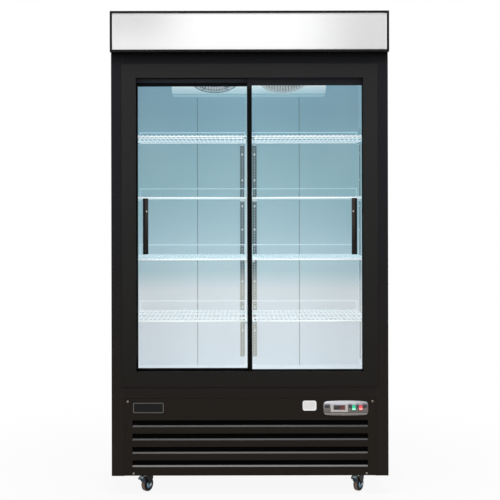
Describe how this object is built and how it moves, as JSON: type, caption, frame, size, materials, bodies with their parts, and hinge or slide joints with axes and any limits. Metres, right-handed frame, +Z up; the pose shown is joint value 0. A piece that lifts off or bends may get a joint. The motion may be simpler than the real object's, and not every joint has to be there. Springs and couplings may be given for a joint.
{
  "type": "merchandiser refrigerator",
  "caption": "Upright display refrigerator with sliding glass doors, wire shelves, lit blank sign canopy, louvred machine panel with controls, and casters.",
  "frame": {"origin": "on the floor under the centre of the whole object", "axes": "+Z up, the doors face -Y, +X to the right seen from the front"},
  "size_m": [1.2, 0.73, 2.095],
  "materials": {
    "black_painted_steel": "satin",
    "black_aluminium": "satin",
    "dark_side_steel": "satin",
    "galvanised_steel": "matte",
    "rigid_foam": "matte",
    "white_liner": "satin",
    "track_aluminium": "satin",
    "white_post": "satin",
    "lamp_white": "satin",
    "zinc_strip": "satin",
    "white_coated_wire": "gloss",
    "white_cover": "satin",
    "guard_wire": "satin",
    "coil_aluminium": "satin",
    "fan_plastic": "satin",
    "motor_steel": "satin",
    "canopy_black": "satin",
    "sign_acrylic": "satin",
    "door_black": "satin",
    "door_glass": "polished",
    "handle_black": "satin",
    "roller_nylon": "satin",
    "seal_black": "matte",
    "grille_black": "satin",
    "bezel_silver": "gloss",
    "display_black": "gloss",
    "green_lens": "gloss",
    "red_lens": "gloss",
    "plate_white": "satin",
    "plate_dark": "gloss",
    "screw_steel": "satin",
    "compressor_black": "gloss",
    "pan_plastic": "matte",
    "copper_tube": "satin",
    "zinc_plate": "satin",
    "fork_steel": "satin",
    "wheel_grey": "matte",
    "pedal_black": "satin"
  },
  "bodies": {
    "cabinet": {"outer_shell": "dark_side_steel", "rear_panels": "galvanised_steel", "face_rails": "black_painted_steel", "base_pan": "galvanised_steel", "foam_insulation": "rigid_foam", "inner_liner": "white_liner", "door_frame": "black_aluminium", "top_door_track": "door_black", "bottom_door_track": "track_aluminium", "centre_post": "white_post", "interior_lamp": "lamp_white", "shelf_supports": "zinc_strip", "evaporator_cover": "white_cover", "evaporator_fan_guards": "guard_wire", "evaporator_coil": "coil_aluminium", "fan_motors": "motor_steel", "canopy_housing": "canopy_black", "canopy_sign_panel": "sign_acrylic", "canopy_lamp": "lamp_white", "front_grille": "grille_black", "panel_screws": "screw_steel", "control_bezel": "bezel_silver", "control_display": "display_black", "info_plate": "plate_white", "badge_plate": "plate_dark", "compressor": "compressor_black", "condenser_coil": "coil_aluminium", "drain_pan": "pan_plastic", "refrigerant_lines": "copper_tube", "caster_plates": "zinc_plate", "bottom_shelves": "white_coated_wire", "lower_middle_shelves": "white_coated_wire", "upper_middle_shelves": "white_coated_wire", "top_shelves": "white_coated_wire"},
    "left_door": {"left_door_frame": "door_black", "left_door_glass": "door_glass", "left_door_handle": "handle_black", "door_meeting_seal": "seal_black"},
    "left_door_outer_roller": {"left_door_outer_roller": "roller_nylon"},
    "left_door_inner_roller": {"left_door_inner_roller": "roller_nylon"},
    "right_door": {"right_door_frame": "door_black", "right_door_glass": "door_glass", "right_door_handle": "handle_black"},
    "right_door_outer_roller": {"right_door_outer_roller": "roller_nylon"},
    "right_door_inner_roller": {"right_door_inner_roller": "roller_nylon"},
    "caster_fork_front_left": {"caster_fork_front_left": "fork_steel"},
    "caster_wheel_front_left": {"caster_wheel_front_left": "wheel_grey"},
    "brake_pedal_front_left": {"brake_pedal_front_left": "pedal_black"},
    "caster_fork_front_right": {"caster_fork_front_right": "fork_steel"},
    "caster_wheel_front_right": {"caster_wheel_front_right": "wheel_grey"},
    "brake_pedal_front_right": {"brake_pedal_front_right": "pedal_black"},
    "caster_fork_rear_left": {"caster_fork_rear_left": "fork_steel"},
    "caster_wheel_rear_left": {"caster_wheel_rear_left": "wheel_grey"},
    "caster_fork_rear_right": {"caster_fork_rear_right": "fork_steel"},
    "caster_wheel_rear_right": {"caster_wheel_rear_right": "wheel_grey"},
    "evaporator_fan_left": {"evaporator_fan_left": "fan_plastic"},
    "evaporator_fan_right": {"evaporator_fan_right": "fan_plastic"},
    "condenser_fan": {"condenser_fan": "fan_plastic"},
    "green_rocker": {"green_rocker": "green_lens"},
    "red_rocker": {"red_rocker": "red_lens"}
  },
  "joints": [
    {"name": "left_door_slide", "type": "slide", "parent": "cabinet", "child": "left_door", "axis": [1, 0, 0], "range_m": [0, 0.48]},
    {"name": "left_door_outer_roller_turn", "type": "hinge", "parent": "left_door", "child": "left_door_outer_roller", "pos_m": [-0.45, -0.249, 0.4992], "axis": [0, 1, 0], "continuous": true},
    {"name": "left_door_inner_roller_turn", "type": "hinge", "parent": "left_door", "child": "left_door_inner_roller", "pos_m": [-0.049, -0.249, 0.4992], "axis": [0, 1, 0], "continuous": true},
    {"name": "right_door_slide", "type": "slide", "parent": "cabinet", "child": "right_door", "axis": [1, 0, 0], "range_m": [-0.48, 0]},
    {"name": "right_door_outer_roller_turn", "type": "hinge", "parent": "right_door", "child": "right_door_outer_roller", "pos_m": [0.45, -0.285, 0.4992], "axis": [0, 1, 0], "continuous": true},
    {"name": "right_door_inner_roller_turn", "type": "hinge", "parent": "right_door", "child": "right_door_inner_roller", "pos_m": [0.049, -0.285, 0.4992], "axis": [0, 1, 0], "continuous": true},
    {"name": "front_left_swivel", "type": "hinge", "parent": "cabinet", "child": "caster_fork_front_left", "pos_m": [-0.466, -0.25, 0.078], "axis": [0, 0, 1], "continuous": true},
    {"name": "front_left_wheel_turn", "type": "hinge", "parent": "caster_fork_front_left", "child": "caster_wheel_front_left", "pos_m": [-0.45328, -0.22965, 0.0315], "axis": [0.848, -0.5299, 0], "continuous": true},
    {"name": "front_left_brake_press", "type": "hinge", "parent": "caster_fork_front_left", "child": "brake_pedal_front_left", "pos_m": [-0.47289, -0.26103, 0.0667], "axis": [0.848, -0.5299, 0], "range_deg": [-18, 0]},
    {"name": "front_right_swivel", "type": "hinge", "parent": "cabinet", "child": "caster_fork_front_right", "pos_m": [0.466, -0.25, 0.078], "axis": [0, 0, 1], "continuous": true},
    {"name": "front_right_wheel_turn", "type": "hinge", "parent": "caster_fork_front_right", "child": "caster_wheel_front_right", "pos_m": [0.47872, -0.22965, 0.0315], "axis": [0.848, -0.5299, 0], "continuous": true},
    {"name": "front_right_brake_press", "type": "hinge", "parent": "caster_fork_front_right", "child": "brake_pedal_front_right", "pos_m": [0.45911, -0.26103, 0.0667], "axis": [0.848, -0.5299, 0], "range_deg": [-18, 0]},
    {"name": "rear_left_swivel", "type": "hinge", "parent": "cabinet", "child": "caster_fork_rear_left", "pos_m": [-0.466, 0.285, 0.078], "axis": [0, 0, 1], "continuous": true},
    {"name": "rear_left_wheel_turn", "type": "hinge", "parent": "caster_fork_rear_left", "child": "caster_wheel_rear_left", "pos_m": [-0.45328, 0.30535, 0.0315], "axis": [0.848, -0.5299, 0], "continuous": true},
    {"name": "rear_right_swivel", "type": "hinge", "parent": "cabinet", "child": "caster_fork_rear_right", "pos_m": [0.466, 0.285, 0.078], "axis": [0, 0, 1], "continuous": true},
    {"name": "rear_right_wheel_turn", "type": "hinge", "parent": "caster_fork_rear_right", "child": "caster_wheel_rear_right", "pos_m": [0.47872, 0.30535, 0.0315], "axis": [0.848, -0.5299, 0], "continuous": true},
    {"name": "evaporator_fan_left_spin", "type": "hinge", "parent": "cabinet", "child": "evaporator_fan_left", "pos_m": [-0.156, -0.08449, 1.85054], "axis": [0, -0.5299, -0.848], "continuous": true},
    {"name": "evaporator_fan_right_spin", "type": "hinge", "parent": "cabinet", "child": "evaporator_fan_right", "pos_m": [0.156, -0.08449, 1.85054], "axis": [0, -0.5299, -0.848], "continuous": true},
    {"name": "condenser_fan_spin", "type": "hinge", "parent": "cabinet", "child": "condenser_fan", "pos_m": [-0.25, -0.174, 0.205], "axis": [0, -1, 0], "continuous": true},
    {"name": "green_rocker_tip", "type": "hinge", "parent": "cabinet", "child": "green_rocker", "pos_m": [0.4485, -0.3245, 0.383], "axis": [1, 0, 0], "range_deg": [0, 14]},
    {"name": "red_rocker_tip", "type": "hinge", "parent": "cabinet", "child": "red_rocker", "pos_m": [0.4785, -0.3245, 0.383], "axis": [1, 0, 0], "range_deg": [0, 14]}
  ],
  "couplings": [
    {"joint": "left_door_outer_roller_turn", "follows": "left_door_slide", "rad_per_m": 90.909},
    {"joint": "left_door_inner_roller_turn", "follows": "left_door_slide", "rad_per_m": 90.909},
    {"joint": "right_door_outer_roller_turn", "follows": "right_door_slide", "rad_per_m": 90.909},
    {"joint": "right_door_inner_roller_turn", "follows": "right_door_slide", "rad_per_m": 90.909}
  ]
}
